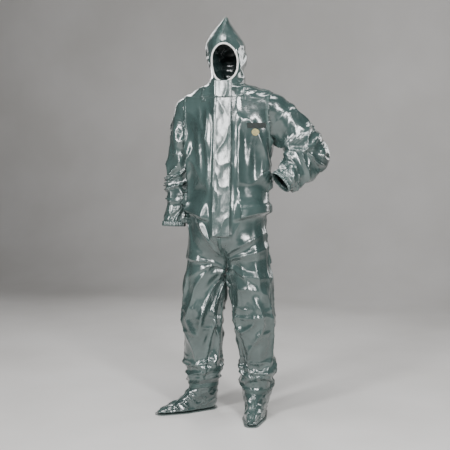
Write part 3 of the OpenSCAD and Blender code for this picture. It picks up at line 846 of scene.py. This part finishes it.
def patch_object(name, rows, tree, rise):
    """A sheet laid on the cloth in front of it."""
    points = []
    for row in rows:
        laid = []
        for x, z in row:
            hit = tree.ray_cast(Vector((x, -0.3, z)), Vector((0, 1, 0)))[0]
            laid.append(np.array(hit) - (0, rise, 0))
        points.append(laid)
    points = np.array(points)
    for _ in range(3):
        points[1:-1, :, 1] = (points[:-2, :, 1] + 2 * points[1:-1, :, 1] + points[2:, :, 1]) / 4
    return grid_object(name, points)


# ---------- camera and lights ----------

def aim(thing, place, target):
    thing.location = place
    thing.rotation_mode = "QUATERNION"
    thing.rotation_quaternion = (Vector(target) - Vector(place)).to_track_quat("-Z", "Y")


def add_camera():
    """From the suit's left of front, at chest height."""
    data = bpy.data.cameras.new("camera")
    data.lens = 75
    data.sensor_width = 36
    made = bpy.data.objects.new("camera", data)
    bpy.context.scene.collection.objects.link(made)
    turn, tilt, distance = math.radians(20), math.radians(4.8), 4.5
    right = np.array((math.cos(turn), math.sin(turn), 0))
    back = np.array((math.sin(turn) * math.cos(tilt), -math.cos(turn) * math.cos(tilt), math.sin(tilt)))
    target = np.array((ZIP_X, 0.017, 0.921)) - right * 0.024
    aim(made, target + back * distance, target)
    bpy.context.scene.camera = made


def area_light(name, place, height, size, power):
    """A soft light aimed at the suit at a height."""
    data = bpy.data.lights.new(name, "AREA")
    data.shape = "RECTANGLE"
    data.size, data.size_y = size
    data.energy = power
    made = bpy.data.objects.new(name, data)
    bpy.context.scene.collection.objects.link(made)
    aim(made, place, (0, 0, height))


def add_lights():
    area_light("key", (-1.3, -3.5, 2.4), 1.1, (0.55, 2.2), 140)
    area_light("side", (2.4, -2.6, 2.1), 1.1, (0.45, 2.0), 120)
    area_light("front", (0.7, -4.0, 3.0), 1.1, (1.2, 0.5), 45)
    area_light("top", (0.2, -0.4, 3.5), 1.2, (1.4, 0.9), 50)
    area_light("rim", (-1.8, 2.6, 2.4), 1.2, (0.8, 1.8), 30)
    area_light("back", (1.9, 2.4, 2.0), 1.1, (0.8, 1.8), 30)
    world = bpy.data.worlds.new("studio")
    world.use_nodes = True
    sky = world.node_tree.nodes["Background"].inputs
    sky["Color"].default_value = (0.80, 0.82, 0.84, 1)
    sky["Strength"].default_value = 0.10
    bpy.context.scene.world = world


def add_floor():
    """A pale floor that bends up into a wall behind the suit."""
    size, bend, back = 9.0, 1.6, 3.2
    profile = [(-size, 0)] + [
        (back + bend * math.sin(t), bend * (1 - math.cos(t))) for t in np.linspace(0, math.pi / 2, 12)
    ] + [(back + bend, 6)]
    verts = [(x, y, z) for y, z in profile for x in (-size, size)]
    faces = [(2 * i, 2 * i + 1, 2 * i + 3, 2 * i + 2) for i in range(len(profile) - 1)]
    made = mesh_object("floor", verts, faces)
    dressed(made, floor_material())


# ---------- materials ----------

TAPE_DARK, TAPE_PALE = (0.030, 0.052, 0.049), (0.058, 0.090, 0.085)


def shaded(colour, share):
    return tuple(c * share for c in colour)


def new_material(name, colour, roughness):
    made = bpy.data.materials.new(name)
    made.use_nodes = True
    shader = made.node_tree.nodes["Principled BSDF"]
    shader.inputs["Base Color"].default_value = (*colour, 1)
    shader.inputs["Roughness"].default_value = roughness
    return made, shader


def add_node(material, kind, **inputs):
    node = material.node_tree.nodes.new(kind)
    for name, value in inputs.items():
        node.inputs[name.replace("_", " ")].default_value = value
    return node


def link(material, source, output, target, put):
    material.node_tree.links.new(source.outputs[output], target.inputs[put])


def noise_node(material, scale, detail=3.0, distortion=0.0):
    place = add_node(material, "ShaderNodeTexCoord")
    node = add_node(material, "ShaderNodeTexNoise", Scale=scale, Detail=detail, Distortion=distortion)
    link(material, place, "Object", node, "Vector")
    return node


def mix_colours(material, shader, cloud, first, second):
    """Mottles the colour by a noise."""
    ramp = material.node_tree.nodes.new("ShaderNodeValToRGB")
    for stop, position, colour in zip(ramp.color_ramp.elements, (0.35, 0.65), (first, second)):
        stop.position = position
        stop.color = (*colour, 1)
    link(material, cloud, "Fac", ramp, "Fac")
    link(material, ramp, "Color", shader, "Base Color")


def vary_roughness(material, shader, cloud, least, most):
    span = add_node(material, "ShaderNodeMapRange", To_Min=least, To_Max=most)
    link(material, cloud, "Fac", span, "Value")
    link(material, span, "Result", shader, "Roughness")


def stack_bumps(material, shader, layers):
    """Chains bumps, each a (node, output, depth in metres), coarse first."""
    before = None
    for node, output, depth in layers:
        bump = add_node(material, "ShaderNodeBump", Strength=1.0, Distance=depth)
        link(material, node, output, bump, "Height")
        if before:
            link(material, before, "Normal", bump, "Normal")
        before = bump
    link(material, before, "Normal", shader, "Normal")


def crease_node(material, scale, wander):
    """Flat facets that meet at sharp creases, as in crumpled film."""
    place = add_node(material, "ShaderNodeTexCoord")
    drift = add_node(material, "ShaderNodeTexNoise", Scale=scale * 0.6, Detail=2.0)
    link(material, place, "Object", drift, "Vector")
    shift = material.node_tree.nodes.new("ShaderNodeVectorMath")
    shift.operation = "MULTIPLY_ADD"
    shift.inputs[1].default_value = (wander, wander, wander)
    link(material, drift, "Color", shift, 0)
    link(material, place, "Object", shift, 2)
    cells = add_node(material, "ShaderNodeTexVoronoi", Scale=scale)
    link(material, shift, "Vector", cells, "Vector")
    return cells


def film_material(name="coated_film", dark=(0.022, 0.042, 0.040), pale=(0.048, 0.079, 0.075), gloss=0.17):
    """Grey-green film laminate: glossy, with fine crinkles all over."""
    made, shader = new_material(name, dark, gloss)
    mix_colours(made, shader, noise_node(made, 5.0, 4.0), dark, pale)
    vary_roughness(made, shader, noise_node(made, 22.0, 4.0), gloss - 0.05, gloss + 0.15)
    shader.inputs["Specular IOR Level"].default_value = 0.95
    shader.inputs["Coat Weight"].default_value = 0.8
    shader.inputs["Coat Roughness"].default_value = 0.14
    stack_bumps(made, shader, [
        (crease_node(made, 11, 0.06), "Distance", 0.0034),
        (crease_node(made, 34, 0.02), "Distance", 0.0008),
        (noise_node(made, 150, 4.0, 0.6), "Fac", 0.0002),
    ])
    return made


def floor_material():
    made, shader = new_material("pale_floor", (0.62, 0.60, 0.58), 0.6)
    mix_colours(made, shader, noise_node(made, 1.4), (0.60, 0.585, 0.565), (0.66, 0.645, 0.63))
    return made


def tape_material():
    """Heat-sealed tape: the suit's film again, smoother and a little paler."""
    made, shader = new_material("seam_tape", (0.045, 0.070, 0.066), 0.22)
    mix_colours(made, shader, noise_node(made, 9.0), TAPE_DARK, TAPE_PALE)
    vary_roughness(made, shader, noise_node(made, 30.0), 0.18, 0.34)
    shader.inputs["Specular IOR Level"].default_value = 0.6
    stack_bumps(made, shader, [
        (crease_node(made, 60, 0.02), "Distance", 0.0012),
        (noise_node(made, 260), "Fac", 0.0003),
    ])
    return made


def lining_material():
    """The uncoated inner face: pale bonded fibre."""
    made, shader = new_material("fibre_lining", (0.50, 0.52, 0.48), 0.85)
    mix_colours(made, shader, noise_node(made, 60, 6.0), (0.42, 0.44, 0.41), (0.56, 0.58, 0.54))
    stack_bumps(made, shader, [(noise_node(made, 420, 6.0, 1.4), "Fac", 0.0006)])
    return made


def ribbed_material(name, colour, ribs, roughness):
    """Woven elastic: fine ribs with a knitted surface between them."""
    made, shader = new_material(name, colour, roughness)
    mix_colours(made, shader, noise_node(made, 90, 4.0), shaded(colour, 0.82), colour)
    wave = add_node(made, "ShaderNodeTexWave", Scale=ribs, Distortion=1.2, Detail=2.0)
    place = add_node(made, "ShaderNodeTexCoord")
    link(made, place, "Object", wave, "Vector")
    stack_bumps(made, shader, [(wave, "Fac", 0.0005), (noise_node(made, 700), "Fac", 0.0003)])
    return made


def grained_material(name, colour, grain, depth, roughness, metallic=0.0):
    made, shader = new_material(name, colour, roughness)
    mix_colours(made, shader, noise_node(made, grain * 0.2, 4.0), shaded(colour, 0.78), colour)
    vary_roughness(made, shader, noise_node(made, grain * 0.5, 4.0), roughness - 0.06, roughness + 0.10)
    shader.inputs["Metallic"].default_value = metallic
    stack_bumps(made, shader, [(noise_node(made, grain, 5.0), "Fac", depth)])
    return made


def woven_material(name, colour, threads):
    """A plain weave: two sets of threads across each other."""
    made, shader = new_material(name, colour, 0.8)
    mix_colours(made, shader, noise_node(made, 120, 4.0), shaded(colour, 0.7), colour)
    place = add_node(made, "ShaderNodeTexCoord")
    layers = []
    for direction in ("X", "Z"):
        wave = add_node(made, "ShaderNodeTexWave", Scale=threads, Distortion=0.3)
        wave.bands_direction = direction
        link(made, place, "Object", wave, "Vector")
        layers.append((wave, "Fac", 0.0004))
    stack_bumps(made, shader, layers)
    return made


# ---------- the suit ----------

FILM = film_material()
TAPE = tape_material()
LINING = lining_material()
# thicknesses
CLOTH_T = 0.0008
FLAP_T = 0.0014
PLEAT_T = 0.0010
STRIP_T = 0.0006                            # seam tapes and labels
STRIP_RISE, STRIP_EDGE = 0.0014, 0.0007     # how far a tape stands proud in its middle and at its edge
LABEL_RISE = 0.0013


def finished(made, body, replaced, materials, thickness=CLOTH_T):
    """Thickens and dresses a piece and hides the CAD parts that it replaces. It hangs the piece on its body's
    empty, but on the hood and sleeves only bakes its placing into the mesh.
    """
    if thickness:
        thickened(made, thickness, 1 if len(materials) > 1 else 0)
    dressed(made, *materials)
    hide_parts(*replaced)
    if body in BENDS:
        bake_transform(made)
    else:
        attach(made, body)
    return made


def under_arm(name, out, down, length):
    """Two points below a sleeve's armhole: one 82 mm under it, and one a given length further out and down."""
    start = ARMHOLE[name] - (0, 0, 0.082)
    heading = np.array((SIDES[name] * out, 0, -down)) / math.hypot(out, down)
    return tuple(start), tuple(start + heading * length)


BENDS = {
    "hood": ((0, 0, NAPE_Z + 0.012), (0, 0, NAPE_Z + 0.150)),
    "left_sleeve": under_arm("left", 0.8, 0.6, 0.12),
    "right_sleeve": under_arm("right", 0.5, 0.86, 0.12),
}


def add_suit():
    """The cloth: settled round a body, creased, cut along its seams, and its seam tapes."""
    forms = base_solids()
    rough = one_form(forms, CLOTH_CELL, "suit")
    open_cloth(rough)
    base = positions(rough)
    settled = base
    inner = one_form(forms, INNER_CELL, "inner")
    inside = positions(inner)
    set_positions(inner, inside - normals(inner) * slack(inside)[:, None])
    settled = settle(rough, inner)
    bpy.data.objects.remove(inner)
    flat = subdivided(rough, base)
    made = subdivided(rough, settled)
    co = positions(flat)
    worn = positions(made)
    folded = worn + normals(made) * (fold_depth(co) * calm(co))[:, None]
    set_positions(made, pointed(folded, co))
    cloth = cut_cloth(made, co)
    cloth["rim"] = face_rim(made)
    for spent in (flat, made, rough):
        bpy.data.objects.remove(spent)
    return cloth


def add_panels(cloth):
    at = cloth["centres"]
    boots = at[:, 2] < BOOT_Z
    left = on_left(at) > 0
    arms = {name: in_sleeve(at, name) > 0 for name in SIDES}
    body = ~boots & ~arms["left"] & ~arms["right"]
    hood = body & (in_hood(at) > 0)
    front = body & ~hood & (in_front(at) > 0)
    back = body & ~hood & ~front
    panels = {}
    for side, here in (("left", left), ("right", ~left)):
        for part, chosen, body_name, replaced in (
            ("front_" + side, front & here, BODY, ["front_" + side + "_panel"]),
            ("back_" + side, back & here, BODY, ["back_" + side + "_panel"]),
            ("hood_" + side, hood & here, "hood", ["hood_" + side + "_panel", "throat_" + side + "_panel"]),
            (side + "_boot", boots & here, BODY, [side + "_boot_upper"]),
            (side + "_arm", arms[side] & ~boots, side + "_sleeve", [side + "_sleeve"]),
        ):
            panels[part] = part_of(cloth, chosen, part + "_cloth")
            finished(panels[part], body_name, replaced, (FILM, LINING))
    return panels


def add_tapes(cloth):
    at = cloth["centres"]
    half = TAPE_W / 2
    arms = (in_sleeve(at, "left") > 0) | (in_sleeve(at, "right") > 0)
    body = ~arms & (at[:, 2] > BOOT_Z + half)
    hood = in_hood(at)
    trunk = body & (hood < 0)
    across = np.abs(at[:, 0] - ZIP_X)
    middle_line = np.abs(on_left(at)) < half
    edge_line = trunk & (np.abs(in_front(at)) < half)
    front = in_front(at) > 0
    z = at[:, 2]
    above_crotch = trunk & middle_line & (z > CROTCH_Z + 0.002)
    clear_of_face = (face_radius(at) > 1.09) & ((at[:, 1] > -0.02) | (z > FACE[2]))
    clear_of_neck = hood < -EDGE_TAPE - 0.002
    flaps = (at[:, 1] < -0.05) & (across < 0.088)
    strips = {
        "hood_crown": body & (hood > 0.010) & middle_line & clear_of_face,
        "back": above_crotch & ~front & clear_of_neck,
        "crotch": above_crotch & front & (z < ZIP_LOW_Z - 0.012),
        "neck": body & (hood < -NECK_GAP) & (hood > -EDGE_TAPE) & ~flaps,
    }
    for name, side in SIDES.items():
        here = (at[:, 0] - ZIP_X) * side > 0
        past = (at[:, 0] - ARMHOLE[name][0]) * side
        side_top = high(name + "_side_seam_tape")[2]
        line = here & edge_line
        inner = across < INSEAM_HALF_W
        strips[name + "_armhole"] = trunk & here & (past < 0) & (past > -EDGE_TAPE) & (z > side_top)
        strips[name + "_side"] = line & (z < side_top) & (~inner | (z > CROTCH_Z))
        strips[name + "_inseam"] = line & inner & (z < CROTCH_Z - 0.016)
        clear_of_arm = (z > ARMHOLE[name][2]) & (past < -EDGE_TAPE - 0.002)
        strips[name + "_shoulder"] = line & clear_of_arm & clear_of_neck
        strips[name + "_boot"] = ~arms & here & (np.abs(z - BOOT_Z) < half)
        toe_line = here & (np.abs(beside_toe_seam(at, name)) < half)
        instep = (z > SOLE_Z + 0.010) & (z < BOOT_Z - half - 0.002)
        toward_toe = at[:, 1] < low(name + "_boot_seam_tape")[1] + 0.03
        strips[name + "_boot_toe"] = toe_line & instep & toward_toe
    for name, chosen in strips.items():
        made = part_of(cloth, chosen, name + "_tape_strip", STRIP_RISE, STRIP_EDGE)
        node = name + ("_tape" if "inseam" in name else "_seam_tape")
        finished(made, "hood" if name == "hood_crown" else BODY, [node], (TAPE,), STRIP_T)


def add_closure():
    film = film_material("flap_film", TAPE_DARK, TAPE_PALE, 0.22)
    for name, seed in (("storm", 31), ("chin", 41)):
        node = name + "_flap"
        flap = flap_object(name + "_flap_cloth", node, seed)
        fold = fold_object(name + "_flap_pleat", node + "_fold")
        finished(flap, node, [node], (film,), FLAP_T)
        finished(fold, BODY, [node + "_fold"], (film,), PLEAT_T)


def add_cuffs_and_elastic(rim):
    for name in SIDES:
        finished(cuff_object(name), name + "_sleeve", [name + "_cuff_hem"], (FILM,), 0)
    white = ribbed_material("white_elastic", (0.86, 0.86, 0.83), 160, 0.75)
    finished(elastic_object(rim), "hood", ["face_elastic"], (white,), 0)


def add_labels(front):
    mesh = front.data
    tree = BVHTree.FromPolygons([v.co for v in mesh.vertices], [f.vertices for f in mesh.polygons])
    dark = woven_material("label_weave", (0.035, 0.045, 0.042), 420)
    pale = woven_material("badge_weave", (0.62, 0.54, 0.26), 420)
    lowest, highest = low("chest_label"), high("chest_label")
    rows = [[(x, z) for x in np.linspace(lowest[0], highest[0], 27)]
            for z in np.linspace(lowest[2], highest[2], 10)]
    label = patch_object("chest_label_cloth", rows, tree, LABEL_RISE)
    finished(label, BODY, ["chest_label"], (dark,), STRIP_T)
    centre = middle("chest_label_patch")
    radius = (high("chest_label_patch")[0] - low("chest_label_patch")[0]) / 2
    turns = np.linspace(0, 2 * math.pi, 33)
    rows = [[(centre[0] + r * radius * math.cos(a), centre[2] + r * radius * math.sin(a)) for a in turns]
            for r in (0.02, 0.3, 0.6, 0.82, 0.92, 1.0)]
    badge = patch_object("chest_badge_cloth", rows, tree, LABEL_RISE)
    finished(badge, BODY, ["chest_label_patch"], (pale,), STRIP_T)


def dress_frame():
    """Better materials for the CAD nodes that stay."""
    zip_cloth = woven_material("zip_tape_weave", (0.045, 0.062, 0.056), 500)
    zip_teeth = grained_material("moulded_teeth", (0.05, 0.065, 0.06), 200, 0.0002, 0.35)
    metal = grained_material("zip_metal", (0.55, 0.56, 0.55), 300, 0.0001, 0.32, 1.0)
    strip = grained_material("release_paper", (0.74, 0.75, 0.70), 140, 0.0003, 0.5)
    sole = film_material("boot_sole_film", (0.030, 0.048, 0.045), (0.055, 0.080, 0.076), 0.42)
    finish = {
        "zip_tape": zip_cloth, "zip_teeth": zip_teeth, "zip_": metal, "adhesive_strip": strip,
        "landing_strip": strip, "_sole": sole,
    }
    for name, node in NODES.items():
        for part, material in finish.items():
            if part in name:
                node.data.materials.clear()
                node.data.materials.append(material)
                break


add_camera()
CLOTH = add_suit()
PANELS = add_panels(CLOTH)
add_tapes(CLOTH)
add_closure()
add_cuffs_and_elastic(CLOTH["rim"])
add_labels(PANELS["front_left"])
dress_frame()
add_lights()
add_floor()
